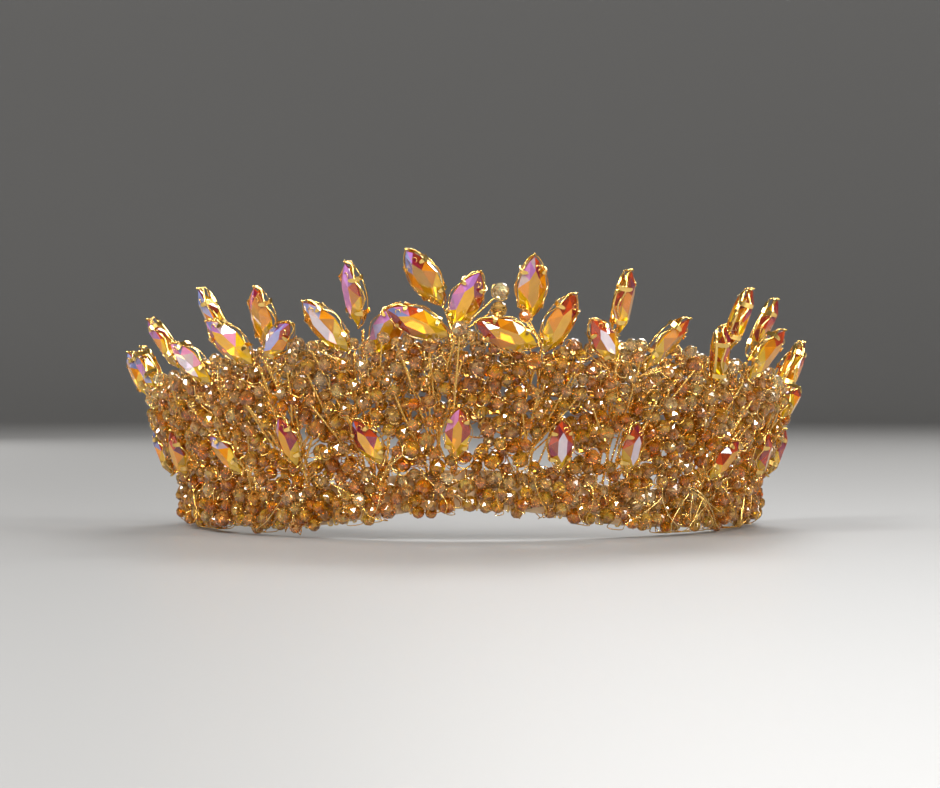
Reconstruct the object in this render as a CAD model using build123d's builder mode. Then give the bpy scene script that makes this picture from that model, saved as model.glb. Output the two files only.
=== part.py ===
from build123d import *

import os
import random
from math import atan2, cos, degrees, hypot, pi, radians, sin, sqrt

# An open-backed bridal crown: a ribbon-covered steel band bent round the head, a thick rope of wired
# glass beads on its outside, a row of small upright stones above the rope, and a flared wall of
# beads on twisted wire stems that carries trios of marquise stones in claw settings.
#
# Millimetres and degrees. The origin is on the upright axis of the head opening, in the plane that
# the crown stands on. The front faces -Y, +X is to the right seen from the front, and +Z is up.
# An azimuth is 0 at the front and positive towards +X. A depth is measured outward from the middle
# of the beaded wall.

# ---- driving dimensions: the band and its arch
BAND_RADIUS = 66.4  # middle of the band's thickness
BAND_THICKNESS = 0.8
BAND_HEIGHT = 8.0
RIBBON_WALL = 0.5
RIBBON_FIT = 0.05  # gap between the band and the ribbon
BEADING_END = 98  # azimuth at which the beading stops, each side
RIBBON_END = 99.5
BAND_END = 101
ARCH_RISE = 5.2  # how far the front of the lower edge stands above its sides
ARCH_END = 44  # azimuth at which the lower edge comes down to the table

# ---- the rope of beads round the lower edge
ROPE_HALF_HEIGHT = 6.6
ROPE_DEPTH = 7.6  # outward, from the face of the wire turns
ROPE_CENTRE = 0.2  # depth of the middle of its section, as a share of its depth
ROPE_SQUARENESS = 3  # 2 would make its section an ellipse, and more makes it boxier
LUMP_PITCH = 13  # azimuth from one bead cluster to the next
LUMP_VALLEY = 0.8  # size of the rope between two clusters, as a share of its full size
TURN_PITCH = 4  # azimuth from one turn of the binding wire to the next
TURN_WIRE = 0.35
TURN_FIT = 0.12

# ---- the flared wall of beads
WALL_FOOT = 2.2  # outward, from the band to the middle of the wall
FLARE = 0.385  # outward travel of the wall for each millimetre of height
WALL_IN = -3.8  # the deepest bead centre
WALL_OUT = 4.2  # the outermost bead centre
TOP_MEAN = 30.5  # height of the beads at the sides
TOP_SWELL = 17.0  # how much higher they stand at the front
WALL_EDGE = 0.7  # thickness of the wall at its foot and its top, as a share of the whole
WALL_SWELL_FOOT = 6  # height over which it grows to its full thickness
WALL_SWELL_TOP = 6
WINDOW_HALF_WIDTH = 5.6  # the open space round a small stone
WINDOW_HALF_HEIGHT = 4.2
WINDOW_DROP = 1.5  # how far its middle is below the stone's

# ---- beads and wire
LARGE_BEAD = 4.0
SMALL_BEAD = 3.0
BEAD_HOLE = 1.0
BEAD_GAP = 0.06
TOUCHING = 1.02 * BEAD_GAP
BEAD_WIRE = 0.4
STEM_WIRE = 0.9  # two wires twisted together
PIN_SHARE = 0.94  # length of the wire in a bead, as a share of its diameter
BEAD_RINGS = ((-0.42, 0.27), (0, 0.5), (0.42, 0.27))  # height and radius, as shares of its diameter
LARGE_TRIES = 2500  # random places tried for a large bead, and then for a small one
SMALL_TRIES = 30000
GROWTH_TRIES = 300000  # random places tried against the side of a bead that is already there
SEED = 11

# ---- marquise stones: length, width
LARGE_STONE = (15.0, 7.0)
SMALL_STONE = (12.0, 6.0)
STONE_CROWN = 1.3  # girdle to table
STONE_GIRDLE = 0.4
STONE_PAVILION = 2.4  # girdle to keel
TABLE_SCALE = 0.52
KEEL_SCALE = 0.16
OUTLINE_SHARES = (0.76, 0.46, 0.16, -0.16, -0.46, -0.76)  # corners of the outline along each side
SETTING_WALL = 0.45
SETTING_FIT = 0.08
SETTING_DEPTH = 2.6  # below the girdle
SETTING_LIP = 0.35  # above the girdle
SETTING_LEDGE = 0.78  # opening in its floor, as a share of the stone
TIP_ALLOWANCE = 2.2  # how much faster a pointed end grows than a side, for the same wall
CLAW_WIDTH = 1.3
CLAW_RISE = 0.75
CLAW_ALONG = 0.27  # places of the claws, as shares of the stone's length and width
CLAW_ACROSS = 0.355

# ---- end loops, for a ribbon or a hair pin
LOOP_OUTER = 6.0
LOOP_HOLE = 3.0
LOOP_NECK = 1.2
NECK_HEIGHT = 3.0
NECK_OVERLAP = 1.0
LOOP_GAP = 0.02  # between a loop and the end of the band

# Each spray: azimuth of its root, and its stones as (azimuth, height, lean, turn, depth, size). A
# stone leans towards +X when positive, and turns its face towards +X when positive.
SPRAYS = [
    (-86, [(-90, 38.0, -10, -10, 1.0, LARGE_STONE), (-81, 38.5, -22, 0, 3.4, SMALL_STONE)]),
    (-67, [(-61.8, 45.8, -33, -15, 0.4, LARGE_STONE), (-73.5, 39.5, -42, 0, 2.4, SMALL_STONE)]),
    (-48, [(-45.6, 51.6, -14, -30, -1.0, LARGE_STONE), (-50.4, 41.2, -50, 0, 4.0, LARGE_STONE)]),
    (
        -34,
        [
            (-34.6, 51.5, 1, -10, -0.4, LARGE_STONE),
            (-29.8, 46.5, 48, -20, 5.8, SMALL_STONE),
            (-39.2, 46.0, -46, 10, 4.8, LARGE_STONE),
        ],
    ),
    (-20, [(-18.3, 56.9, -4, -35, -0.8, LARGE_STONE), (-22.4, 49.6, -38, 0, 2.4, LARGE_STONE)]),
    (
        -6,
        [
            (-6.9, 60.6, -28, 0, -1.6, LARGE_STONE),
            (-0.6, 55.3, 25, -8, 0.8, LARGE_STONE),
            (-7.6, 50.4, -64, 0, 5.6, LARGE_STONE),
            (-13.7, 48.5, 30, 0, -2.0, LARGE_STONE),
        ],
    ),
    (
        10,
        [
            (9.5, 58.4, 1, 6, -1.4, LARGE_STONE),
            (14.0, 50.3, 23, 12, 0.8, LARGE_STONE),
            (5.4, 47.8, -70, 0, 5.8, LARGE_STONE),
        ],
    ),
    (
        27,
        [
            (24.3, 55.1, 2, 50, 0.0, LARGE_STONE),
            (20.6, 46.4, -38, 20, 4.4, SMALL_STONE),
            (32.6, 45.7, 38, 20, 1.6, LARGE_STONE),
        ],
    ),
    (
        50,
        [
            (48.6, 51.4, 8, 45, -0.4, LARGE_STONE),
            (43.4, 43.0, -14, 50, 3.4, LARGE_STONE),
            (53.4, 43.2, 38, 0, 5.4, LARGE_STONE),
            (58.4, 49.4, 10, 20, -1.8, LARGE_STONE),
        ],
    ),
    (76, [(83.0, 39.4, 15, 15, 1.0, LARGE_STONE), (75.4, 31.4, 50, 0, 4.2, SMALL_STONE)]),
    (91, [(93.0, 36.5, 14, 10, 0.6, LARGE_STONE)]),
]

# Beads that stand clear of the rest on their own stems: azimuth, height, depth, diameter.
LONE_BEADS = [
    (4.6, 57.6, 1.2, LARGE_BEAD),
    (4.4, 53.4, 0.8, LARGE_BEAD),
    (-1.4, 48.9, 7.2, LARGE_BEAD),
    (8.3, 52.0, 2.4, SMALL_BEAD),
    (9.7, 41.5, 6.4, LARGE_BEAD),
]

# The row of small upright stones above the rope: azimuth, lean, height above the rope.
MIDDLE_STONES = [
    (-84, -8, 5.6),
    (-66, 10, 5.8),
    (-47.9, -38, 6.2),
    (-32.3, -12, 8.8),
    (-17.5, -28, 6.4),
    (-2.1, 5, 6.8),
    (15.6, -3, 5.4),
    (28.7, 1, 6.8),
    (51.4, 38, 4.8),
    (67.4, -12, 5.0),
    (84, 8, 5.4),
]
MIDDLE_DEPTH = 4.8
MIDDLE_FOOT_RISE = 2.0  # foot of its stem, above the middle of the band and out from the wall
MIDDLE_FOOT_DEPTH = 0.6
MIDDLE_BOW = 0.4

# ---- stems
STEM_SPREAD = 1.6  # azimuth between the roots of one spray's stems
ROOT_RISE = 5.0  # height of a root above the middle of the band
ROOT_DEPTH = -1.8
KNEE_DEPTH = 0.6
KNEE_RISE = 1.0  # height of the bend above the middle of the stem
KNEE_SHARE = 0.3  # how much of the way round to the tip the bend has gone
TIP_GAP = 1.5  # from the end of a stem to the tip of its stone
STEM_BEND = 6.0

os.makedirs("parts", exist_ok=True)
chance = random.Random(SEED)


# ---- places on the crown
def arch(azimuth):
    """How far the lower edge stands above the table."""
    if abs(azimuth) >= ARCH_END:
        return 0
    return ARCH_RISE * cos(radians(90 * azimuth / ARCH_END)) ** 2


def band_height(azimuth):
    """Height of the middle of the band and of the rope."""
    return ROPE_HALF_HEIGHT + arch(azimuth)


def bead_top(azimuth):
    return TOP_MEAN + TOP_SWELL * cos(radians(azimuth))


def wall_radius(azimuth, height):
    return BAND_RADIUS + WALL_FOOT + FLARE * (height - band_height(azimuth))


def wall_point(azimuth, height, depth=0):
    radius = wall_radius(azimuth, height) + depth
    return Vector(radius * sin(radians(azimuth)), -radius * cos(radians(azimuth)), height)


def wall_plane(azimuth, height, depth=0, lean=0, turn=0):
    """A plane on the wall: y up the wall, leant and turned, and z outward."""
    around = Vector(cos(radians(azimuth)), sin(radians(azimuth)), 0)
    outward = Vector(sin(radians(azimuth)), -cos(radians(azimuth)), -FLARE).normalized()
    upward = outward.cross(around)
    along = upward * cos(radians(lean)) + around * sin(radians(lean))
    across = along.cross(outward)
    face = outward * cos(radians(turn)) + across * sin(radians(turn))
    side = across * cos(radians(turn)) - outward * sin(radians(turn))
    return Plane(wall_point(azimuth, height, depth), x_dir=side, z_dir=face)


# ---- what is already filled, as spheres sorted into cubic cells
CELL = 5.0  # more than the reach between the two largest spheres
STONE_ROWS = 6
STONE_BALL = STONE_PAVILION
filled = {}


def cell_of(point):
    return int(point.X // CELL), int(point.Y // CELL), int(point.Z // CELL)


def fill(point, radius):
    filled.setdefault(cell_of(point), []).append((point.X, point.Y, point.Z, radius))


def is_free(point, radius):
    x, y, z = cell_of(point)
    for i in (x - 1, x, x + 1):
        for j in (y - 1, y, y + 1):
            for k in (z - 1, z, z + 1):
                for px, py, pz, near in filled.get((i, j, k), ()):
                    gap = (px - point.X) ** 2 + (py - point.Y) ** 2 + (pz - point.Z) ** 2
                    if gap < (near + radius + BEAD_GAP) ** 2:
                        return False
    return True


def fill_line(start, end, radius):
    steps = int((end - start).length / radius) + 1
    for k in range(steps + 1):
        fill(start + (end - start) * (k / steps), radius)


def fill_stone(plane, size):
    """Spheres that cover a stone, its setting and its claws."""
    length, width = size
    for k in range(-STONE_ROWS, STONE_ROWS + 1):
        share = k / STONE_ROWS
        half_width = (width / 2 + SETTING_WALL) * (1 - share**2)
        reach = max(half_width - 0.75 * STONE_BALL, 0)
        for side in (-reach, 0, reach):
            along = share * (length - STONE_BALL) / 2
            fill(Vector(plane.from_local_coords((side, along, -0.5))), STONE_BALL)


# ---- shapes
def arched_strip(inner, outer, height, end):
    """A strip between two radii that follows the arch, as far round as the azimuth end."""
    middle = (inner + outer) / 2
    steps = [ARCH_END * k / 6 for k in range(-6, 7)]
    low = [(middle * sin(radians(a)), band_height(a) - height / 2) for a in steps]
    high = [(x, z + height) for x, z in low]
    side = 2 * outer
    far = 3 * outer
    right = (far * sin(radians(end)), -far * cos(radians(end)))
    left = (-right[0], right[1])
    with BuildPart() as strip:
        with BuildSketch(Plane.XZ):
            with BuildLine():
                Spline(*low, tangents=((1, 0), (1, 0)))
                Polyline(low[-1], (side, low[-1][1]), (side, high[-1][1]), high[-1])
                Spline(*high, tangents=((1, 0), (1, 0)))
                Polyline(high[0], (-side, high[0][1]), (-side, low[0][1]), low[0])
            make_face()
        extrude(amount=side, both=True)
        with BuildSketch(Plane.XY):
            Circle(outer)
            Circle(inner, mode=Mode.SUBTRACT)
            with BuildLine():
                Polyline((0, 0), right, (far, far), (-far, far), left, close=True)
            make_face(mode=Mode.SUBTRACT)
        extrude(amount=far, mode=Mode.INTERSECT)
    return strip.part


def hexagonal_bead(diameter):
    """A faceted bead on Z with a round hole."""
    with BuildPart() as bead:
        for height, radius in BEAD_RINGS:
            with BuildSketch(Plane.XY.offset(height * diameter)):
                RegularPolygon(radius * diameter, 6)
        loft(ruled=True)
        Hole(BEAD_HOLE / 2)
    return bead.part


def bead_wire(diameter):
    """The straight piece of wire inside a bead, a little longer than its hole."""
    with BuildPart() as wire:
        Cylinder(BEAD_WIRE / 2, PIN_SHARE * diameter)
    return wire.part


def marquise_points(length, width):
    """A pointed oval of two arcs, long along Y, as a polygon."""
    curve = (length**2 + width**2) / (4 * width)
    right = [(0, length / 2)]
    for share in OUTLINE_SHARES:
        y = share * length / 2
        right.append((sqrt(curve**2 - y**2) - curve + width / 2, y))
    left = [(-x, -y) for x, y in right]
    return right + left


def stone(size):
    """A marquise-cut stone with its girdle at z = 0 and its table towards +Z."""
    length, width = size
    half = STONE_GIRDLE / 2
    keel, table = -half - STONE_PAVILION, half + STONE_CROWN
    levels = [(keel, KEEL_SCALE), (-half, 1), (half, 1), (table, TABLE_SCALE)]
    with BuildPart() as cut:
        for height, scale in levels:
            with BuildSketch(Plane.XY.offset(height)):
                Polygon(*marquise_points(length * scale, width * scale), align=None)
        loft(ruled=True)
    return cut.part


def setting(size):
    """An open-backed cup with a ledge under the stone and four upright claws."""
    length, width = size
    fit, wall = 2 * SETTING_FIT, 2 * SETTING_WALL
    inside = marquise_points(length + TIP_ALLOWANCE * fit, width + fit)
    outside = marquise_points(length + TIP_ALLOWANCE * (fit + wall), width + fit + wall)
    ledge = marquise_points(length * SETTING_LEDGE, width * SETTING_LEDGE)
    claw_y = CLAW_ALONG * length
    claw_x = CLAW_ACROSS * width + SETTING_WALL
    claws = [(claw_x, claw_y), (-claw_x, claw_y), (claw_x, -claw_y), (-claw_x, -claw_y)]
    with BuildPart() as cup:
        with BuildSketch(Plane.XY.offset(-SETTING_DEPTH)):
            Polygon(*outside, align=None)
            Polygon(*inside, align=None, mode=Mode.SUBTRACT)
        extrude(amount=SETTING_DEPTH + SETTING_LIP)
        with BuildSketch(Plane.XY.offset(-SETTING_DEPTH)):
            Polygon(*outside, align=None)
            Polygon(*ledge, align=None, mode=Mode.SUBTRACT)
        extrude(amount=SETTING_WALL)
        with BuildSketch(Plane.XY.offset(SETTING_LIP)):
            with Locations(*claws):
                Rectangle(1.2 * CLAW_WIDTH, CLAW_WIDTH)
            Polygon(*outside, align=None, mode=Mode.INTERSECT)
            Polygon(*inside, align=None, mode=Mode.SUBTRACT)
        extrude(amount=CLAW_RISE)
    return cup.part


def stem(points):
    """A wire along a rounded path through three points."""
    with BuildPart() as wire:
        with BuildLine():
            path = FilletPolyline(*points, radius=STEM_BEND)
        with BuildSketch(Plane(path @ 0, z_dir=path % 0)):
            Circle(STEM_WIRE / 2)
        sweep()
    return wire.part


# ---- places of the stones and their stems, which the beads then keep clear of
def stem_points(root_azimuth, plane, size):
    """From the band, out through the wall, to just short of the lower tip of a setting."""
    root_height = band_height(root_azimuth) + ROOT_RISE
    tip = Vector(plane.from_local_coords((0, -size[0] / 2 - TIP_GAP, -1)))
    tip_azimuth = degrees(atan2(tip.X, -tip.Y))
    knee_height = (root_height + tip.Z) / 2 + KNEE_RISE
    knee_azimuth = root_azimuth + KNEE_SHARE * (tip_azimuth - root_azimuth)
    root = wall_point(root_azimuth, root_height, ROOT_DEPTH)
    return root, wall_point(knee_azimuth, knee_height, KNEE_DEPTH), tip


sprays = []
for root, stones in SPRAYS:
    planes = []
    stems = []
    in_order = sorted(stones, key=lambda place: place[0])
    for k, (azimuth, height, lean, turn, depth, size) in enumerate(in_order):
        plane = wall_plane(azimuth, height, depth, lean, turn)
        root_azimuth = root + STEM_SPREAD * (k - (len(in_order) - 1) / 2)
        planes.append((plane, size))
        stems.append(stem_points(root_azimuth, plane, size))
        fill_stone(plane, size)
    sprays.append({"root": root, "planes": planes, "stems": stems, "beads": []})

middle_planes = []
middle_stems = []
for azimuth, lean, rise in MIDDLE_STONES:
    height = band_height(azimuth) + ROPE_HALF_HEIGHT + rise
    plane = wall_plane(azimuth, height, MIDDLE_DEPTH, lean)
    tip = Vector(plane.from_local_coords((0, -SMALL_STONE[0] / 2 - TIP_GAP, -1)))
    foot = wall_point(azimuth, band_height(azimuth) + MIDDLE_FOOT_RISE, MIDDLE_FOOT_DEPTH)
    middle_planes.append(plane)
    middle_stems.append((foot, (foot + tip) / 2 + Vector(0, 0, MIDDLE_BOW), tip))
    fill_stone(plane, SMALL_STONE)

for points in [p for spray in sprays for p in spray["stems"]] + middle_stems:
    fill_line(points[0], points[1], STEM_WIRE / 2)
    fill_line(points[1], points[2], STEM_WIRE / 2)


# ---- places of the beads
def bead_plane(point):
    """A plane through a bead with its hole in a random direction, mostly along the wall."""
    azimuth = atan2(point.X, -point.Y)
    around = Vector(cos(azimuth), sin(azimuth), 0)
    outward = Vector(sin(azimuth), -cos(azimuth), 0)
    hole = around * chance.gauss(0, 1) + outward * chance.gauss(0, 0.5) + Vector(0, 0, chance.gauss(0, 1))
    return Plane(point, z_dir=hole)


def in_rope(point, azimuth, radius):
    """Whether a bead lies in the lumpy rope on the outside of the band."""
    phase = abs((azimuth / LUMP_PITCH) % 1 - 0.5) * 2
    size = 1 - (1 - LUMP_VALLEY) * phase**2
    face = BAND_RADIUS + BAND_THICKNESS / 2 + RIBBON_FIT + RIBBON_WALL + TURN_FIT + TURN_WIRE
    out = hypot(point.X, point.Y) - face
    up = point.Z - band_height(azimuth)
    middle = ROPE_DEPTH * ROPE_CENTRE
    half_height = ROPE_HALF_HEIGHT * size - radius
    depth = ROPE_DEPTH * size - middle - radius
    edge = abs((out - middle) / depth) ** ROPE_SQUARENESS + abs(up / half_height) ** ROPE_SQUARENESS
    return out > radius + BEAD_GAP and edge < 1


def in_wall(point, azimuth, radius):
    """Whether a bead belongs in the wall, which is open round each small stone."""
    rise = point.Z - band_height(azimuth) - ROPE_HALF_HEIGHT
    below_top = bead_top(azimuth) - point.Z
    if rise < -radius or below_top < 0:
        return False
    for stone_azimuth, _, stone_rise in MIDDLE_STONES:
        across = radians(azimuth - stone_azimuth) * BAND_RADIUS / WINDOW_HALF_WIDTH
        up = (rise - stone_rise + WINDOW_DROP) / WINDOW_HALF_HEIGHT
        if across**2 + up**2 < 1:
            return False
    swell = min(1, max(rise, 0) / WALL_SWELL_FOOT, below_top / WALL_SWELL_TOP)
    thickness = WALL_EDGE + (1 - WALL_EDGE) * swell
    depth = hypot(point.X, point.Y) - wall_radius(azimuth, point.Z)
    return WALL_IN * thickness < depth < WALL_OUT * thickness


rope_beads = []
placed_beads = []


def keep_bead(point, diameter, azimuth):
    """Gives a bead to the rope or to the nearest spray."""
    placed = (bead_plane(point), diameter)
    if in_rope(point, azimuth, diameter / 2):
        rope_beads.append((*placed, azimuth))
    else:
        nearest = min(sprays, key=lambda spray: abs(spray["root"] - azimuth))
        nearest["beads"].append(placed)
    placed_beads.append((point, diameter / 2))
    fill(point, diameter / 2)


def try_bead(point, diameter):
    azimuth = degrees(atan2(point.X, -point.Y))
    radius = diameter / 2
    if abs(azimuth) > BEADING_END:
        return
    if in_rope(point, azimuth, radius) or in_wall(point, azimuth, radius):
        if is_free(point, radius):
            keep_bead(point, diameter, azimuth)


def anywhere():
    """A random point in or near the rope and the wall."""
    azimuth = chance.uniform(-BEADING_END, BEADING_END)
    height = chance.uniform(0, TOP_MEAN + TOP_SWELL)
    return wall_point(azimuth, height, chance.uniform(WALL_IN, ROPE_DEPTH))


def beside(neighbour, distance):
    """A random point at a distance from a neighbour."""
    up = chance.uniform(-1, 1)
    turn = chance.uniform(0, 2 * pi)
    level = sqrt(1 - up**2)
    return neighbour + Vector(level * cos(turn), level * sin(turn), up) * distance


for azimuth, height, depth, diameter in LONE_BEADS:
    point = wall_point(azimuth, height, depth)
    if is_free(point, diameter / 2):
        keep_bead(point, diameter, azimuth)
for _ in range(LARGE_TRIES):
    try_bead(anywhere(), LARGE_BEAD)
for _ in range(SMALL_TRIES):
    try_bead(anywhere(), SMALL_BEAD)
for _ in range(GROWTH_TRIES):
    neighbour, radius = chance.choice(placed_beads)
    try_bead(beside(neighbour, radius + SMALL_BEAD / 2 + TOUCHING), SMALL_BEAD)
print("beads in the rope", len(rope_beads))
print("beads in the sprays", [len(spray["beads"]) for spray in sprays])

# ---- patterns that are copied into place
bead_patterns = {diameter: hexagonal_bead(diameter) for diameter in (LARGE_BEAD, SMALL_BEAD)}
wire_patterns = {diameter: bead_wire(diameter) for diameter in bead_patterns}
stone_patterns = {size: stone(size) for size in (LARGE_STONE, SMALL_STONE)}
setting_patterns = {size: setting(size) for size in stone_patterns}


def place_all(patterns, placed):
    """Adds a copy of the right pattern at each (plane, size) to the part being built."""
    for size, pattern in patterns.items():
        planes = [plane.location for plane, chosen in placed if chosen == size]
        if planes:
            with Locations(*planes):
                add(pattern, clean=False)


def save(piece, name):
    piece.label = name
    export_step(piece, f"parts/{name}.step", write_pcurves=False)


# ---- the band, its ribbon, the binding wire and the end loops
half_band = BAND_THICKNESS / 2
with BuildPart() as base_band:
    add(arched_strip(BAND_RADIUS - half_band, BAND_RADIUS + half_band, BAND_HEIGHT, BAND_END))
save(base_band.part, "base_band")

hollow = half_band + RIBBON_FIT
skin = hollow + RIBBON_WALL
ribbon_height = BAND_HEIGHT + 2 * (RIBBON_FIT + RIBBON_WALL)
ribbon_outside = arched_strip(BAND_RADIUS - skin, BAND_RADIUS + skin, ribbon_height, RIBBON_END)
inside_height = BAND_HEIGHT + 2 * RIBBON_FIT
ribbon_inside = arched_strip(BAND_RADIUS - hollow, BAND_RADIUS + hollow, inside_height, BAND_END + 1)
with BuildPart() as ribbon_cover:
    add(ribbon_outside)
    add(ribbon_inside, mode=Mode.SUBTRACT)
save(ribbon_cover.part, "ribbon_cover")

with BuildPart() as wire_turn:
    with BuildSketch(Plane.XY.offset(-TURN_WIRE / 2)):
        Rectangle(2 * (skin + TURN_FIT + TURN_WIRE), ribbon_height + 2 * (TURN_FIT + TURN_WIRE))
        Rectangle(2 * (skin + TURN_FIT), ribbon_height + 2 * TURN_FIT, mode=Mode.SUBTRACT)
    extrude(amount=TURN_WIRE)

turn_places = []
for k in range(int(2 * BEADING_END / TURN_PITCH) + 1):
    azimuth = -BEADING_END + k * TURN_PITCH
    radial = Vector(sin(radians(azimuth)), -cos(radians(azimuth)), 0)
    middle = radial * BAND_RADIUS + Vector(0, 0, band_height(azimuth))
    around = Vector(-cos(radians(azimuth)), -sin(radians(azimuth)), 0)
    turn_places.append(Plane(middle, x_dir=radial, z_dir=around).location)
with BuildPart() as rope_wire:
    with Locations(*turn_places):
        add(wire_turn.part, clean=False)
    place_all(wire_patterns, [(plane, size) for plane, size, _ in rope_beads])
save(rope_wire.part, "rope_wire")

for side, name in ((-1, "end_loop_left"), (1, "end_loop_right")):
    end = radians(side * BAND_END)
    around = Vector(cos(end), sin(end), 0) * side
    outward = Vector(sin(end), -cos(end), 0)
    start = outward * BAND_RADIUS + around * LOOP_GAP + Vector(0, 0, band_height(BAND_END))
    with BuildPart() as end_loop:
        with BuildSketch(Plane(start - outward * half_band, x_dir=around, z_dir=outward)):
            neck_length = LOOP_NECK + NECK_OVERLAP
            with Locations((neck_length / 2, 0)):
                Rectangle(neck_length, NECK_HEIGHT)
            with Locations((LOOP_NECK + LOOP_OUTER / 2, 0)):
                Circle(LOOP_OUTER / 2)
                Circle(LOOP_HOLE / 2, mode=Mode.SUBTRACT)
        extrude(amount=BAND_THICKNESS)
    save(end_loop.part, name)

# ---- the rope's beads, in lengths that each span the same azimuth
ROPE_LENGTHS = 6
for k in range(ROPE_LENGTHS):
    span = 2 * BEADING_END / ROPE_LENGTHS
    low = -BEADING_END + k * span
    chosen = [(plane, size) for plane, size, azimuth in rope_beads if low <= azimuth < low + span]
    with BuildPart() as rope_length:
        place_all(bead_patterns, chosen)
    save(rope_length.part, f"rope_beads_{k + 1}")

# ---- the row of small stones
with BuildPart() as middle_stones:
    place_all(stone_patterns, [(plane, SMALL_STONE) for plane in middle_planes])
save(middle_stones.part, "middle_stones")

with BuildPart() as middle_settings:
    place_all(setting_patterns, [(plane, SMALL_STONE) for plane in middle_planes])
save(middle_settings.part, "middle_settings")

stem_solids = [stem(points) for points in middle_stems]
with BuildPart() as middle_wires:
    add(stem_solids, clean=False)
save(middle_wires.part, "middle_wires")

# ---- the sprays
for k, spray in enumerate(sprays):
    stem_solids = [stem(points) for points in spray["stems"]]
    with BuildPart() as spray_wires:
        add(stem_solids, clean=False)
        place_all(wire_patterns, spray["beads"])
    save(spray_wires.part, f"spray_{k + 1:02d}_wires")

    with BuildPart() as spray_beads:
        place_all(bead_patterns, spray["beads"])
    save(spray_beads.part, f"spray_{k + 1:02d}_beads")

    with BuildPart() as spray_stones:
        place_all(stone_patterns, spray["planes"])
    save(spray_stones.part, f"spray_{k + 1:02d}_stones")

    with BuildPart() as spray_settings:
        place_all(setting_patterns, spray["planes"])
    save(spray_settings.part, f"spray_{k + 1:02d}_settings")
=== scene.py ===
import math

import bpy
import numpy as np
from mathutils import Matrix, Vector


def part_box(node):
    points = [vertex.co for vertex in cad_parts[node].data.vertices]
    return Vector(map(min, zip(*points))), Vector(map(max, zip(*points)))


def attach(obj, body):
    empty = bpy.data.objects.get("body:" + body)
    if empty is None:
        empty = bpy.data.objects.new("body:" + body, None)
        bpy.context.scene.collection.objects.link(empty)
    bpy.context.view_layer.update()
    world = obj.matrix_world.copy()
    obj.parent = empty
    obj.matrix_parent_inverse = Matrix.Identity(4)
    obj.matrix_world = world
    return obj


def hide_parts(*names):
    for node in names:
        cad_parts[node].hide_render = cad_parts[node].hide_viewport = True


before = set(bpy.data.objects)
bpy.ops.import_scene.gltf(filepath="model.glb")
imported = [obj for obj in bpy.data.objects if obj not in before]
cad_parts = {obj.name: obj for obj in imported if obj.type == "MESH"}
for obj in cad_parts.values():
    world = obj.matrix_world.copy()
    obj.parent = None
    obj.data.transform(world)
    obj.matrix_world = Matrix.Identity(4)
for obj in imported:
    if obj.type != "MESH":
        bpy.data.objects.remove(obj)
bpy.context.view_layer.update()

# Metres. The frame's origin is on the upright axis of the head opening, in the plane that the crown
# stands on; -Y is the front, and an azimuth is 0 there and positive towards +X.
MM = 0.001
UP = np.array([0.0, 0.0, 1.0])
chance = np.random.default_rng(7)
nodes = sorted(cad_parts)


# ---- the camera: a long lens, level with the crown, in front of it
CAMERA_DISTANCE = 0.770
CAMERA_HEIGHT = 0.042
FOCAL_LENGTH = 115.4
CAMERA_PITCH = math.radians(0.65)

camera_data = bpy.data.cameras.new("camera")
camera_data.lens = FOCAL_LENGTH
camera_data.sensor_width = 36
camera_data.clip_start = 0.01
camera = bpy.data.objects.new("camera", camera_data)
camera.location = (0, -CAMERA_DISTANCE, CAMERA_HEIGHT)
camera.rotation_euler = (math.radians(90) - CAMERA_PITCH, 0, 0)
bpy.context.scene.collection.objects.link(camera)
bpy.context.scene.camera = camera


# ---- reading the CAD nodes
def solids_in(node):
    """The corner points of each separate solid of a CAD node."""
    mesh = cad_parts[node].data
    points = np.empty(3 * len(mesh.vertices), np.float32)
    mesh.vertices.foreach_get("co", points)
    corners, index = np.unique(points.reshape(-1, 3).round(7), axis=0, return_inverse=True)
    edges = np.empty(2 * len(mesh.edges), np.int32)
    mesh.edges.foreach_get("vertices", edges)
    edges = index.reshape(-1)[edges].reshape(-1, 2)
    label = np.arange(len(corners))
    while True:
        lower = np.minimum(label[edges[:, 0]], label[edges[:, 1]])
        after = label.copy()
        np.minimum.at(after, edges[:, 0], lower)
        np.minimum.at(after, edges[:, 1], lower)
        after = after[after]
        if (after == label).all():
            return [corners[label == k].astype(float) for k in np.unique(label)]
        label = after


def own_axes(points):
    """The directions in which a solid's corners spread least to most, as rows."""
    centred = points - points.mean(0)
    return np.linalg.eigh(centred.T @ centred)[1].T


def unit(vector):
    return vector / np.linalg.norm(vector)


def outward_at(point):
    return unit(np.array([point[0], point[1], 0.0]))


def rounded(value, power):
    """A sine or cosine pushed towards 1 or -1, which squares up the circle that it draws."""
    return math.copysign(abs(value) ** power, value)


def across(vector, axis):
    """The part of a vector square to an axis, as a unit vector."""
    rest = vector - axis * (vector @ axis)
    if np.linalg.norm(rest) < 1e-6:
        rest = np.cross(axis, [0.31, 0.52, 0.8])
    return unit(rest)


# ---- building meshes out of many small shapes
class Heap:
    """Points, faces, face colours and smoothness gathered for one mesh."""

    def __init__(self):
        self.points, self.faces, self.colours, self.smooth = [], [], [], []
        self.count = 0

    def take(self, points, faces, colour=(1, 1, 1), smooth=False):
        """Adds a shape. colour is one colour, or one for each face."""
        self.points.append(np.asarray(points))
        self.faces.extend([tuple(int(i) + self.count for i in face) for face in faces])
        colours = np.asarray(colour, float)
        if colours.ndim == 1:
            colours = np.tile(colours, (len(faces), 1))
        self.colours.append(colours)
        self.smooth.extend([smooth] * len(faces))
        self.count += len(points)


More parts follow.
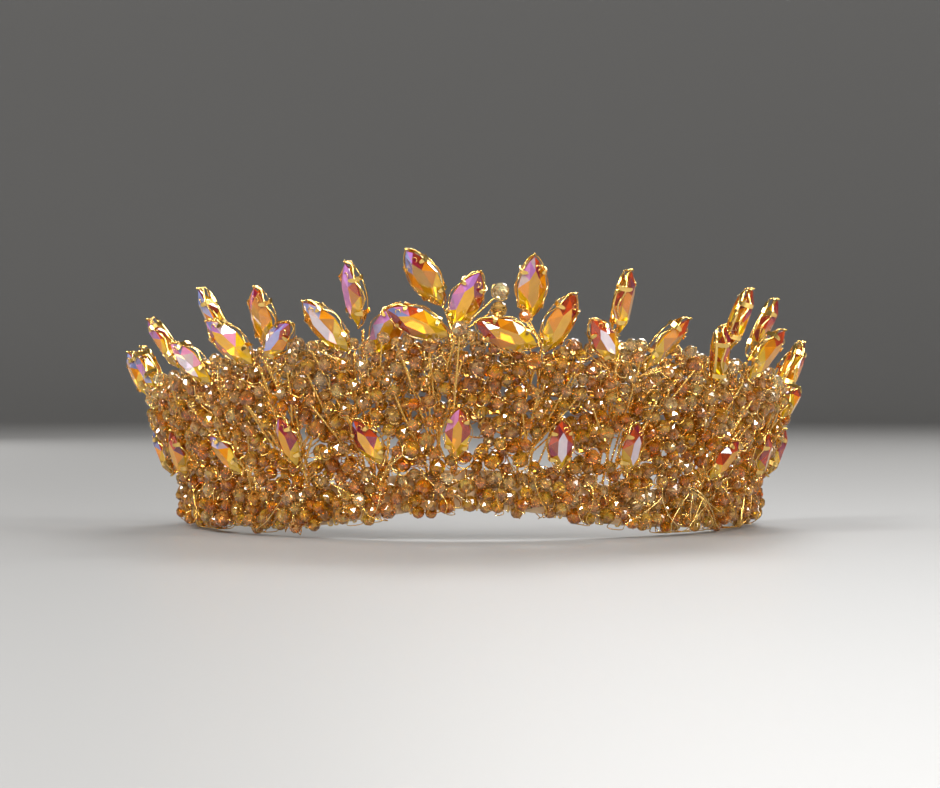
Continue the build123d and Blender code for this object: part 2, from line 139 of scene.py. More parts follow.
def make_piece(name, heap, material, replaced):
    """Makes a piece of a heap, riding on the one body, in place of the CAD nodes that it replaces."""
    mesh = bpy.data.meshes.new(name)
    mesh.from_pydata(np.concatenate(heap.points).tolist(), [], heap.faces)
    colours = np.concatenate(heap.colours)
    loops = np.empty(len(mesh.polygons), np.int32)
    mesh.polygons.foreach_get("loop_total", loops)
    per_corner = np.repeat(np.hstack([colours, np.ones((len(colours), 1))]), loops, axis=0)
    # one colour per face: real tints, and on beads, stones and ribbon also painted light and shade
    layer = mesh.color_attributes.new("tint_and_painted_light", "FLOAT_COLOR", "CORNER")
    layer.data.foreach_set("color", per_corner.astype(np.float32).ravel())
    mesh.polygons.foreach_set("use_smooth", np.array(heap.smooth, bool))
    mesh.materials.append(material)
    mesh.validate()
    mesh.update()
    piece = bpy.data.objects.new(name, mesh)
    bpy.context.scene.collection.objects.link(piece)
    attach(piece, "root")
    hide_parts(*replaced)


def band_faces(low, high, count):
    """Quads between two closed rows of points, given by the index of each row's first point."""
    return [(low + i, low + (i + 1) % count, high + (i + 1) % count, high + i) for i in range(count)]


def flipped(faces):
    return [face[::-1] for face in faces]


def tube(path, radius, sides=6, closed=False):
    """A round wire along a path of points."""
    path = np.asarray(path)
    if closed:
        along = np.roll(path, -1, 0) - np.roll(path, 1, 0)
    else:
        along = np.gradient(path, axis=0)
    along /= np.linalg.norm(along, axis=1)[:, None]
    side = across(np.array([0.13, 0.27, 0.95]), along[0])
    sides_at = []
    for direction in along:
        side = across(side, direction)
        sides_at.append(side)
    sides_at = np.array(sides_at)
    other = np.cross(along, sides_at)
    angles = np.arange(sides) * 2 * math.pi / sides
    rings = (
        path[:, None, :]
        + radius * np.cos(angles)[None, :, None] * sides_at[:, None, :]
        + radius * np.sin(angles)[None, :, None] * other[:, None, :]
    )
    points = rings.reshape(-1, 3)
    faces = []
    for k in range(len(path) - (0 if closed else 1)):
        faces += band_faces(k * sides, ((k + 1) % len(path)) * sides, sides)
    if not closed:
        faces.append(tuple(reversed(range(sides))))
        faces.append(tuple(range(len(points) - sides, len(points))))
    return points, faces


# ---- faceted glass beads
BEAD_FACETS = 8
# from the hole's edge to the girdle: height, radius, and turn as a share of one facet
BEAD_ROWS = [(0.44, 0.13, 0), (0.425, 0.23, 0), (0.27, 0.42, 0.5), (0.0, 0.5, 0)]


def bead_shape():
    """A round bead of unit diameter with its hole on Z, cut in offset rows of facets."""
    angles = np.arange(BEAD_FACETS) * 2 * math.pi / BEAD_FACETS
    rows = BEAD_ROWS + [(-z, r, shift) for z, r, shift in reversed(BEAD_ROWS[:-1])]
    points = []
    for z, r, shift in rows:
        turned = angles + shift * 2 * math.pi / BEAD_FACETS
        points += [(r * math.cos(a), r * math.sin(a), z) for a in turned]
    n = BEAD_FACETS
    faces = []
    for k in range(len(rows) - 1):
        low, high = k * n, (k + 1) * n
        lead = rows[k][2] > rows[k + 1][2]
        if rows[k][2] == rows[k + 1][2]:
            faces += flipped(band_faces(low, high, n))
            continue
        for i in range(n):
            j = (i + 1) % n
            if lead:
                faces += [(low + i, high + i, high + j), (low + i, high + j, low + j)]
            else:
                faces += [(low + i, high + i, low + j), (low + j, high + i, high + j)]
    last = (len(rows) - 1) * n
    faces += flipped(band_faces(last, 0, n))
    return np.array(points), faces


def bead_places(node):
    """Centre, hole direction and diameter of each bead in a node."""
    places = []
    for corners in solids_in(node):
        centre = corners.mean(0)
        diameter = 2 * np.linalg.norm(corners - centre, axis=1).max()
        places.append((centre, own_axes(corners)[2], diameter))
    return places


HONEY_TINTS = np.array(
    [(1.0, 0.46, 0.03), (1.0, 0.40, 0.02), (1.0, 0.53, 0.06), (0.97, 0.33, 0.015), (1.0, 0.48, 0.04)]
)
CLEAR_AND_HIGHLIGHT_TINT = np.array((1.0, 0.80, 0.50))
CLEAR_SHARE = 0.10  # how clear a bead is on average, and how much paler it is painted at the top of its node, as a painted highlight
TOP_HIGHLIGHT_RISE = 0.6
CLEAR_SPREAD = 0.16
# how much darker or lighter each bead facet is painted, at random: painted light and shade on the glass
FACET_PAINTED_LIGHT_AND_SHADE = (0.35, 1.4)


def glass_beads(heap, places, low, high):
    """Beads that are honey coloured, some of them clear at random, painted paler near the top of the node
    as a painted highlight, each facet painted lighter or darker as painted light and shade.
    """
    points, faces = bead_shape()
    for centre, hole, diameter in places:
        side = across(chance.normal(size=3), hole)
        turn = np.array([side, np.cross(hole, side), hole])
        # the higher the bead in its node, the paler it is painted: a painted highlight
        height = np.clip((centre[2] - low) / (high - low), 0, 1)
        clear_and_highlight = np.clip(chance.normal(CLEAR_SHARE + TOP_HIGHLIGHT_RISE * height**4, CLEAR_SPREAD), 0, 1)
        honey = HONEY_TINTS[chance.integers(len(HONEY_TINTS))]
        tint_and_painted_light = honey * (1 - clear_and_highlight) + CLEAR_AND_HIGHLIGHT_TINT * clear_and_highlight
        # each facet painted lighter or darker at random: painted light and shade
        facets = tint_and_painted_light * chance.uniform(*FACET_PAINTED_LIGHT_AND_SHADE, (len(faces), 1))
        heap.take(points * diameter @ turn + centre, faces, np.clip(facets, 0, 1))


# ---- wire round each bead, twisted into a leg that goes back to a stem or to the band
WIRE_RADIUS = 0.13 * MM
TWIST_LENGTH = 1.7 * MM
LEG_RANGE = (1.2 * MM, 6.5 * MM)
LEG_DROP = 4.5 * MM
LEG_WANDER = 1.2 * MM
LEG_SHORT = 0.6  # how much of the bead's diameter a leg stops short of its anchor
LOOP_REACH = 0.53  # from the bead's centre to its loop, as a share of the diameter
LOOP_BULGE = 0.4
LOOP_ANGLES = np.linspace(0.2, 1.45, 7)
TWIST_STEP = 0.4 * MM
ROPE_LOOSENESS = 0.6
WALL_LOOSENESS = 0.35
FLOOR_CLEARANCE = 0.15 * MM
GOLD_TINTS = ((1.0, 0.66, 0.19), (1.0, 0.73, 0.28), (0.92, 0.54, 0.12))


def bead_wire_shape(diameter, leg, loose):
    """A wire through a bead's hole, back round it on each side, and twisted into a leg.
    The hole is on X and the leg runs along -Z; loose is how far the wire stands off the bead."""
    hole = 0.5 * diameter
    out = (LOOP_REACH + loose) * diameter
    bulge = chance.uniform(-LOOP_BULGE, LOOP_BULGE) * diameter
    through = [(x, 0, 0) for x in np.linspace(-hole, hole, 3)]
    right = [(out * math.cos(a), bulge * math.sin(a), -out * math.sin(a)) for a in LOOP_ANGLES]
    left = [(-x, y, z) for x, y, z in right]
    steps = max(5, int(leg / TWIST_STEP))
    strands = []
    for hand in (0, math.pi):
        strand = []
        for share in np.linspace(0, 1, steps):
            angle = hand + 2 * math.pi * leg * share / TWIST_LENGTH
            x, y = WIRE_RADIUS * math.cos(angle), WIRE_RADIUS * math.sin(angle)
            strand.append((x, bulge * (1 - share) + y, -out - leg * share))
        strands.append(strand)
    return np.array(strands[1][::-1] + left[::-1] + through + right + strands[0])


def bead_wires(heap, places, anchors, looseness):
    """The wires of all beads in a node; each leg runs to the nearest anchor point a little below.
    A few loops stand off their bead, by up to this share of its diameter."""
    for centre, hole, diameter in places:
        wanted = centre - UP * LEG_DROP + chance.normal(0, LEG_WANDER, 3)
        near = anchors[np.argmin(((anchors - wanted) ** 2).sum(1))] - centre
        leg = np.clip(np.linalg.norm(near) - LEG_SHORT * diameter, *LEG_RANGE)
        down = unit(near)
        cross = across(hole, down)
        turn = np.array([cross, np.cross(-down, cross), -down])
        loose = looseness * chance.random() ** 3
        path = bead_wire_shape(diameter, leg, loose) @ turn + centre
        path[:, 2] = np.maximum(path[:, 2], FLOOR_CLEARANCE)
        points, faces = tube(path, WIRE_RADIUS, sides=5)
        heap.take(points, faces, GOLD_TINTS[chance.integers(len(GOLD_TINTS))], smooth=True)


# ---- twisted stems
STEM_STRAND = 0.2 * MM
STEM_PITCH = 1.9 * MM
STEM_FOOT = 4 * MM  # how far a stem runs on downward among the rope's beads
STEM_BIN = 1.6 * MM  # the height of solid that makes one point of the middle line
STEM_STEP = 0.3 * MM


def stem_line(corners):
    """The middle line of a stem from the corners of its solid, evenly spaced from foot to tip."""
    order = corners[np.argsort(corners[:, 2])]
    bins = np.floor((order[:, 2] - order[0, 2]) / STEM_BIN).astype(int)
    middles = [order[bins == k].mean(0) for k in np.unique(bins)]
    middles = np.array([middles[0] - UP * STEM_FOOT] + middles)
    steps = np.r_[0, np.cumsum(np.linalg.norm(np.diff(middles, axis=0), axis=1))]
    even = np.linspace(0, steps[-1], max(8, int(steps[-1] / STEM_STEP)))
    return np.array([np.interp(even, steps, middles[:, k]) for k in range(3)]).T


def twisted_stem(heap, line, strand_radius=STEM_STRAND):
    """Two wires of this radius, twisted round a line."""
    along = np.gradient(line, axis=0)
    along /= np.linalg.norm(along, axis=1)[:, None]
    side = np.array([across(UP + np.array([0.3, 0.1, 0]), direction) for direction in along])
    other = np.cross(along, side)
    travel = np.r_[0, np.cumsum(np.linalg.norm(np.diff(line, axis=0), axis=1))]
    start = chance.uniform(0, 2 * math.pi)
    for hand in (0, math.pi):
        angle = (start + hand + 2 * math.pi * travel / STEM_PITCH)[:, None]
        strand = line + strand_radius * (np.cos(angle) * side + np.sin(angle) * other)
        points, faces = tube(strand, strand_radius)
        heap.take(points, faces, GOLD_TINTS[0], smooth=True)


FAN_WIRES = 7
FAN_STRAND = 0.15 * MM
FAN_FOOT_OUT = 5.0 * MM  # from the band to the top of the rope, where a fan starts
FAN_FOOT_UP = 6.5 * MM
FAN_SPREAD = 3.0 * MM
FAN_BOW = 0.7 * MM
FAN_LOWEST = 9 * MM  # from a fan's foot to the lowest bead that it goes to
FAN_TIP = 0.42  # from a bead's centre to the end of its wire, as a share of the diameter
WALL_FLARE = 0.385  # how far the wall leans out for each unit of height


def fan_wires(heap, places, azimuth):
    """Twisted pairs that rise from the rope in front of the beads, each to one of the outer beads."""
    middle = band_middle(azimuth)
    outward = outward_at(middle)
    foot = middle + outward * FAN_FOOT_OUT + UP * FAN_FOOT_UP
    high = [place for place in places if place[0][2] > foot[2] + FAN_LOWEST]
    high.sort(key=lambda place: WALL_FLARE * place[0][2] - np.hypot(place[0][0], place[0][1]))
    outer = high[: max(FAN_WIRES, len(high) // 3)]
    for _ in range(FAN_WIRES):
        centre, _, diameter = outer[chance.integers(len(outer))]
        start = foot + np.cross(UP, outward) * chance.uniform(-FAN_SPREAD, FAN_SPREAD)
        end = centre + outward_at(centre) * FAN_TIP * diameter
        bend = (start + end) / 2 + outward * FAN_BOW
        count = int(np.linalg.norm(end - start) / STEM_STEP)
        share = np.linspace(0, 1, count)[:, None]
        line = start * (1 - share) ** 2 + bend * 2 * share * (1 - share) + end * share**2
        twisted_stem(heap, line, FAN_STRAND)


# ---- marquise stones
STONE_SIDES = 12
TABLE_SIDES = 6
GIRDLE_HALF = 0.2 * MM
CROWN_HEIGHT = 1.5 * MM
PAVILION_DEPTH = 2.6 * MM
TABLE_SHARES = (0.62, 0.46)  # of the stone's length and width
KEEL_SHARES = (0.36, 0.12)


def marquise(length, width, count, z):
    """Points round a pointed oval that is long along Y; the first is at its upper tip."""
    curve = (length**2 + width**2) / (4 * width)
    points = []
    for k in range(count):
        angle = 2 * math.pi * k / count
        y = math.cos(angle) * length / 2
        x = math.sqrt(max(curve**2 - y**2, 0)) - curve + width / 2
        points.append((math.copysign(x, math.sin(angle)), y, z))
    return points


def stone_shape(length, width):
    """A marquise-cut stone, with its faces named crown, table, girdle or pavilion."""
    points = marquise(length, width, STONE_SIDES, GIRDLE_HALF)
    points += marquise(length, width, STONE_SIDES, -GIRDLE_HALF)
    points += marquise(TABLE_SHARES[0] * length, TABLE_SHARES[1] * width, TABLE_SIDES, CROWN_HEIGHT)
    points += marquise(KEEL_SHARES[0] * length, KEEL_SHARES[1] * width, TABLE_SIDES, -PAVILION_DEPTH)
    upper, lower, table, keel = 0, STONE_SIDES, 2 * STONE_SIDES, 2 * STONE_SIDES + TABLE_SIDES
    faces, parts = [], []

    def add(part, *face):
        faces.append(face)
        parts.append(part)

    for k in range(TABLE_SIDES):
        before, here, after = (2 * k - 1) % STONE_SIDES, 2 * k, 2 * k + 1
        following = (k + 1) % TABLE_SIDES
        add("crown", table + k, upper + here, upper + before)
        add("crown", table + k, upper + after, upper + here)
        add("crown", table + k, table + following, upper + after)
        add("pavilion", keel + k, lower + before, lower + here)
        add("pavilion", keel + k, lower + here, lower + after)
        add("pavilion", keel + k, lower + after, keel + following)
    for face in band_faces(upper, lower, STONE_SIDES):
        add("girdle", *face)
    add("table", *range(table + TABLE_SIDES - 1, table - 1, -1))
    add("pavilion", *range(keel, keel + TABLE_SIDES))
    return np.array(points), faces, parts


def stone_place(corners):
    """Centre of the girdle, axes (side, long axis upward, face outward) and size of a stone."""
    thin, side, long = own_axes(corners)
    if thin @ outward_at(corners.mean(0)) < 0:
        thin = -thin
    if long[2] < 0:
        long = -long
    side = np.cross(long, thin)
    local = (corners - corners.mean(0)) @ np.array([side, long, thin]).T
    middle = (local.max(0) + local.min(0)) / 2
    length, width, depth = np.ptp(local, axis=0)[[1, 0, 2]]
    # the girdle isn't at half the depth, because the pavilion is deeper than the crown
    middle[2] = local[:, 2].min() + PAVILION_DEPTH / (PAVILION_DEPTH + CROWN_HEIGHT) * depth
    turn = np.array([side, long, thin])
    return corners.mean(0) + middle @ turn, turn, length, width


YELLOW = np.array((1.0, 0.60, 0.01))
AMBER = np.array((0.92, 0.32, 0.005))
RED = np.array((0.55, 0.06, 0.01))
BURGUNDY = np.array((0.30, 0.01, 0.04))
# painted reflection colours of the coating: lilac, pink, blue, and pale lilac white for a table
PAINTED_COATING_REFLECTIONS = np.array([(0.62, 0.30, 0.85), (0.92, 0.36, 0.66), (0.30, 0.48, 0.95), (0.90, 0.80, 0.88)])
# where the light comes from, for the painted reflections
PAINTED_LIGHT_FROM = unit(np.array([-0.62, -0.25, 0.74]))
TABLE_TINT = np.array((1.0, 0.48, 0.012))
# painted refraction: facets below this height are painted yellow as painted light, and facets above where
# the red starts are painted red or burgundy as painted shade; on the middle row the red starts lower, as
# painted shade among the beads
PAINTED_LIGHT_YELLOW_BELOW = 0.38  # heights as shares of the stone's length
SPRAY_PAINTED_RED_SHADE = (0.5, 0.85)
MIDDLE_PAINTED_RED_SHADE = (0.3, 0.55)
# how far the painted coating reflection spreads over a stone's crown, on the sprays and on the middle row
SPRAY_PAINTED_SHEEN = (0.0, 1.0)
MIDDLE_PAINTED_SHEEN = (0.0, 0.4)
RED_CHANCE = 0.7  # a red facet that isn't burgundy
# how often a table is painted pale lilac white, as a painted reflection
PAINTED_REFLECTION_TABLE_CHANCE = 0.35
ODD_PAINTED_REFLECTION_CHANCE = 0.35  # a facet whose painted coating reflection differs from the rest of its stone
PAINTED_REFLECTION_LIMIT = 0.62  # how squarely a facet faces the light before the painted reflection of its coating shows
PAINTED_REFLECTION_WIDER = 0.35
# how much of a facet's colour is painted reflection
PAINTED_REFLECTION_SHARE = 0.8
# how much darker or lighter each stone facet is painted, at random: painted light and shade
STONE_FACET_PAINTED_LIGHT_AND_SHADE = (0.55, 1.15)


def facet_normal(points, face):
    a, b, c = points[face[0]], points[face[1]], points[face[-1]]
    return unit(np.cross(b - a, c - a))


def stone_colours(points, faces, parts, turn, painted_red_shade, sheen):
    """A colour for each facet, with painted light and shade from refraction: yellow low down, amber and red
    higher up. Facets that face up and to the left, towards the light, carry a painted reflection of the
    coating in lilac, pink or blue, and more of them do so with more sheen.
    The two ranges give where the painted red shade starts and how far the painted reflection spreads."""
    length = np.ptp(points[:, 1])
    colours = []
    # the colour of this stone's painted coating reflection
    stone_reflection = PAINTED_COATING_REFLECTIONS[chance.integers(3)]
    # where the painted red shade starts on this stone
    painted_red_shade_above = chance.uniform(*painted_red_shade)
    # how far the painted reflection spreads on this stone, and whether its table is painted pale lilac
    # white as a painted reflection
    painted_sheen_reach = chance.uniform(*sheen)
    table = PAINTED_COATING_REFLECTIONS[3] if chance.random() < PAINTED_REFLECTION_TABLE_CHANCE else TABLE_TINT
    for face, part in zip(faces, parts):
        height = points[list(face)][:, 1].mean() / length + 0.5
        # painted light and shade from refraction: yellow low, then amber, then red or burgundy high
        painted_refraction = YELLOW if height < PAINTED_LIGHT_YELLOW_BELOW else AMBER
        if height > painted_red_shade_above:
            painted_refraction = RED if chance.random() < RED_CHANCE else BURGUNDY
        colour = painted_refraction
        if part == "pavilion":
            colour = (YELLOW, AMBER, RED, YELLOW)[chance.integers(4)]
        elif part in ("crown", "table"):
            # facets turned towards the light get the painted coating reflection
            facing = facet_normal(points, face) @ turn @ PAINTED_LIGHT_FROM
            if facing > PAINTED_REFLECTION_LIMIT - PAINTED_REFLECTION_WIDER * painted_sheen_reach:
                picked_reflection = PAINTED_COATING_REFLECTIONS[chance.integers(4)] if chance.random() < ODD_PAINTED_REFLECTION_CHANCE else stone_reflection
                colour = PAINTED_REFLECTION_SHARE * picked_reflection + (1 - PAINTED_REFLECTION_SHARE) * painted_refraction
            elif part == "table":
                colour = table
        # each facet painted lighter or darker at random: painted light and shade
        colours.append(np.clip(colour * chance.uniform(*STONE_FACET_PAINTED_LIGHT_AND_SHADE), 0, 1))
    return colours


def cut_stones(heap, node):
    middle = node.startswith("middle")
    # the middle row gets its painted red shade lower down and less painted reflection, as painted shade
    # among the beads
    painted_red_shade, sheen = (MIDDLE_PAINTED_RED_SHADE, MIDDLE_PAINTED_SHEEN) if middle else (SPRAY_PAINTED_RED_SHADE, SPRAY_PAINTED_SHEEN)
    for corners in solids_in(node):
        centre, turn, length, width = stone_place(corners)
        points, faces, parts = stone_shape(length, width)
        colours = stone_colours(points, faces, parts, turn, painted_red_shade, sheen)
        heap.take(points @ turn + centre, faces, colours)


# ---- claw settings
RIM_POINTS = 48
RIM_RISE = 0.5 * MM  # the rim's wave: up at the claws and the tips, and down and out between them
RIM_BULGE = 0.3 * MM
RIM_DROP = 0.25 * MM
RIM_WAVES = 6
SHEET = 0.13 * MM
RIM_GROW = (0.6 * MM, 0.36 * MM)  # longer and wider than the stone
TIP_SHARE = 2.5  # how much faster a pointed end grows than a side, for the same wall
# levels of a setting: height, and share of the stone's size
BASE_LOW, BASE_HIGH = (-2.5 * MM, 0.74), (-1.7 * MM, 0.95)
RIM_LOW, RIM_HIGH = (-0.25 * MM, 1.05), (0.2 * MM, 1.06)
POST_RADIUS = 0.2 * MM
CLAW_ALONG = 0.27  # shares of the stone's length and width
EYELET_ALONG = 0.34
EYELET_ACROSS = 0.12
EYELET_RADIUS = 0.6 * MM
EYELET_WIRE = 0.11 * MM
EYELET_HEIGHT = 0.95 * MM
EYELET_SIDES = 14
CLAW_HALF = 0.55 * MM
CLAW_THICK = 0.14 * MM
# from foot to tip, in millimetres: out from the girdle, height, and width as a share of the whole
CLAW_OUTLINE = [
    (-0.12, -2.3, 1.0),
    (0.16, -1.7, 1.0),
    (0.38, -1.0, 1.0),
    (0.42, 0.1, 1.0),
    (0.34, 0.55, 0.95),
    (0.02, 0.85, 0.9),
    (-0.55, 1.12, 0.75),
    (-0.95, 1.28, 0.35),
]
CLAW_FOLD = 0.5  # the height at which a claw turns in over the stone
FOLDED_SHARE = 0.3  # how much of its thickness still faces sideways above the fold
SETTING_TINT = (1.0, 0.66, 0.19)


def rim_ring(length, width, z, waved):
    """A pointed oval; when it is waved, it rises at the tips and claws, and dips and bulges between."""
    ring = np.array(marquise(length, width, RIM_POINTS, z))
    if waved:
        angles = np.arange(RIM_POINTS) * 2 * math.pi / RIM_POINTS
        wave = np.cos(RIM_WAVES * angles)
        ring[:, 0] -= np.sin(angles) * RIM_BULGE * wave
        ring[:, 2] += RIM_RISE * wave - RIM_DROP
    return ring.tolist()


def hoop(length, width, low, high, waved):
    """A thin hoop of metal round the stone between two levels: height, and share of its size."""
    rings = []
    for (z, scale), inside in ((low, 0), (high, 0), (high, 1), (low, 1)):
        long = length * scale + RIM_GROW[0] - inside * 2 * SHEET * TIP_SHARE
        wide = width * scale + RIM_GROW[1] - inside * 2 * SHEET
        rings += rim_ring(long, wide, z, waved)
    faces = []
    for k in range(4):
        faces += flipped(band_faces(k * RIM_POINTS, (k + 1) % 4 * RIM_POINTS, RIM_POINTS))
    return np.array(rings), faces, True


def setting_shape(length, width):
    """An open setting: a tapered base hoop, a wavy rim, a post and an eyelet at each tip, and four
    claws folded over the stone. Each shape is its points, its faces and whether they are smooth."""
    shapes = [hoop(length, width, BASE_LOW, BASE_HIGH, False), hoop(length, width, RIM_LOW, RIM_HIGH, True)]
    curve = (length**2 + width**2) / (4 * width)
    for up in (-1, 1):
        foot = (0, up * (length * BASE_HIGH[1] + RIM_GROW[0] - SHEET) / 2, BASE_HIGH[0])
        head = (0, up * (length * RIM_HIGH[1] + RIM_GROW[0] - SHEET) / 2, RIM_HIGH[0])
        shapes.append((*tube([foot, head], POST_RADIUS), True))
        shapes.append(eyelet_shape(up * EYELET_ACROSS * width, up * EYELET_ALONG * length))
        y = up * CLAW_ALONG * length
        x = math.sqrt(curve**2 - y**2) - curve + width / 2
        shapes.append(claw_shape(x, y, 1))
        shapes.append(claw_shape(-x, y, -1))
    return shapes


def eyelet_shape(x, y):
    """A small ring for the sewing thread, close over the crown near a tip of the stone."""
    angles = np.arange(EYELET_SIDES) * 2 * math.pi / EYELET_SIDES
    middle = np.array([x, y, EYELET_HEIGHT])
    ring = [middle + EYELET_RADIUS * np.array([math.cos(a), math.sin(a), 0]) for a in angles]
    return *tube(ring, EYELET_WIRE, closed=True), True


def claw_shape(x, y, right):
    """One claw: a flat strip that rises from the base and folds over the stone's crown."""
    points, faces = [], []
    for out, z, wide in CLAW_OUTLINE:
        folded = z > CLAW_FOLD
        for side, lift in ((-1, 0), (1, 0), (1, 1), (-1, 1)):
            shift = CLAW_THICK * lift
            sideways = out * MM + shift * (FOLDED_SHARE if folded else 1)
            rise = z * MM + (shift if folded else 0)
            points.append((x + right * sideways, y + side * CLAW_HALF * wide, rise))
    for k in range(len(CLAW_OUTLINE) - 1):
        faces += band_faces(4 * k, 4 * (k + 1), 4)
    faces.append((3, 2, 1, 0))
    last = 4 * (len(CLAW_OUTLINE) - 1)
    faces.append((last, last + 1, last + 2, last + 3))
    if right < 0:
        faces = flipped(faces)
    return np.array(points), faces, False


def claw_settings(heap, stones_node):
    for corners in solids_in(stones_node):
        centre, turn, length, width = stone_place(corners)
        for points, faces, smooth in setting_shape(length, width):
            heap.take(points @ turn + centre, faces, SETTING_TINT, smooth)


# ---- materials
def new_material(name):
    material = bpy.data.materials.new(name)
    material.use_nodes = True
    shader = material.node_tree.nodes["Principled BSDF"]
    return material, material.node_tree, shader


def tinted(tree, shader, scale, low, high):
    """Base colour from the piece's own colour attribute, which holds its tints and, on beads, stones and
    ribbon, also painted light and shade, mottled by noise of this scale, which is returned.
    """
    attribute = tree.nodes.new("ShaderNodeAttribute")
    attribute.attribute_name = "tint_and_painted_light"
    place = tree.nodes.new("ShaderNodeTexCoord")
    noise = tree.nodes.new("ShaderNodeTexNoise")
    noise.inputs["Scale"].default_value = scale
    noise.inputs["Detail"].default_value = 3
    spread = tree.nodes.new("ShaderNodeMapRange")
    spread.inputs["To Min"].default_value = low
    spread.inputs["To Max"].default_value = high
    mix = tree.nodes.new("ShaderNodeVectorMath")
    mix.operation = "SCALE"
    tree.links.new(place.outputs["Object"], noise.inputs["Vector"])
    tree.links.new(noise.outputs["Fac"], spread.inputs["Value"])
    tree.links.new(attribute.outputs["Color"], mix.inputs[0])
    tree.links.new(spread.outputs["Result"], mix.inputs["Scale"])
    tree.links.new(mix.outputs["Vector"], shader.inputs["Base Color"])
    return noise


def glass_material(name, transmission, ior, film, roughness):
    material, tree, shader = new_material(name)
    tinted(tree, shader, scale=900, low=0.85, high=1.1)
    shader.inputs["Transmission Weight"].default_value = transmission
    shader.inputs["IOR"].default_value = ior
    shader.inputs["Roughness"].default_value = roughness
    shader.inputs["Thin Film Thickness"].default_value = film
    shader.inputs["Thin Film IOR"].default_value = 1.9
    shader.inputs["Specular IOR Level"].default_value = 0.6
    return material


def gold_material(name, roughness, colour=None):
    """Gold plate in one colour, or in the piece's own tints if no colour is given."""
    material, tree, shader = new_material(name)
    if colour:
        noise = tree.nodes.new("ShaderNodeTexNoise")
        noise.inputs["Scale"].default_value = 900
        shader.inputs["Base Color"].default_value = (*colour, 1)
    else:
        noise = tinted(tree, shader, scale=1500, low=0.85, high=1.08)
    shader.inputs["Metallic"].default_value = 1.0
    rough = tree.nodes.new("ShaderNodeMapRange")
    rough.inputs["To Min"].default_value = roughness * 0.7
    rough.inputs["To Max"].default_value = roughness * 1.5
    tree.links.new(noise.outputs["Fac"], rough.inputs["Value"])
    tree.links.new(rough.outputs["Result"], shader.inputs["Roughness"])
    return material


def satin_material():
    """Pale gold satin, with a fine weave as bump and a soft sheen."""
    material, tree, shader = new_material("pale_gold_satin")
    tinted(tree, shader, scale=700, low=0.88, high=1.06)
    shader.inputs["Roughness"].default_value = 0.38
    shader.inputs["Sheen Weight"].default_value = 0.4
    shader.inputs["Specular IOR Level"].default_value = 0.6
    weave = tree.nodes.new("ShaderNodeTexNoise")
    weave.inputs["Scale"].default_value = 2600
    weave.inputs["Detail"].default_value = 2
    bump = tree.nodes.new("ShaderNodeBump")
    bump.inputs["Strength"].default_value = 0.35
    bump.inputs["Distance"].default_value = 0.05 * MM
    tree.links.new(weave.outputs["Fac"], bump.inputs["Height"])
    tree.links.new(bump.outputs["Normal"], shader.inputs["Normal"])
    return material


bead_glass = glass_material("honey_bead_glass", transmission=0.84, ior=1.68, film=0, roughness=0.01)
stone_glass = glass_material("coated_amber_glass", transmission=0.52, ior=1.75, film=330, roughness=0.01)
wire_gold = gold_material("gold_wire", roughness=0.20)
setting_gold = gold_material("gold_setting", roughness=0.14)
band_gold = gold_material("gold_band", roughness=0.3, colour=GOLD_TINTS[1])


# ---- the ribbon and its binding wire
RIBBON_WRAP = 9 * MM
RIBBON_STEP = 0.5 * MM
RIBBON_SIDES = 36
RIBBON_LIFT = 0.112 * MM  # how far a wrap's edge stands up over the last wrap
RIBBON_RIPPLE = 0.024 * MM
RIBBON_POWERS = (0.35, 0.5)  # how square the ribbon's section is, outward and upward
SATIN = np.array((0.80, 0.58, 0.34))
# painted shade along each wrap: darkest where it comes out from under the last wrap, lightest at its own
# raised edge
SATIN_PAINTED_OVERLAP_SHADE = (0.82, 1.02)


def ribbon_line():
    """How the ribbon runs: azimuths, heights of its middle there, its mean radius, half its height,
    half its thickness, and the azimuth of its end."""
    corners = np.concatenate(solids_in("ribbon_cover"))
    azimuth = np.arctan2(corners[:, 0], -corners[:, 1])
    radius = np.hypot(corners[:, 0], corners[:, 1])
    mean, half_thick = (radius.max() + radius.min()) / 2, np.ptp(radius) / 2
    outer = radius > radius.max() - 0.05 * MM
    azimuths, heights = azimuth[outer], corners[outer][:, 2]
    bins = np.round(azimuths / math.radians(2)).astype(int)
    rows = []
    for k in np.unique(bins):
        column = heights[bins == k]
        if np.ptp(column) > 6 * MM:  # a whole column of corners, from the lower edge to the upper
            rows.append((azimuths[bins == k].mean(), (column.max() + column.min()) / 2, np.ptp(column) / 2))
    rows = np.array(rows)
    return rows[:, 0], rows[:, 1], mean, np.median(rows[:, 2]), half_thick, azimuth.max()


ribbon_azimuths, ribbon_heights, band_radius, ribbon_half, ribbon_thick, ribbon_end = ribbon_line()


def band_middle(azimuth):
    height = np.interp(azimuth, ribbon_azimuths, ribbon_heights)
    return np.array([band_radius * math.sin(azimuth), -band_radius * math.cos(azimuth), height])


def ribbon_section(count):
    """A rounded oblong round the band: outward and upward parts, and the distance round it."""
    section = []
    for k in range(count):
        angle = 2 * math.pi * k / count
        out = rounded(math.cos(angle), RIBBON_POWERS[0]) * ribbon_thick
        up = rounded(math.sin(angle), RIBBON_POWERS[1]) * ribbon_half
        section.append((out, up, k / count))
    return section


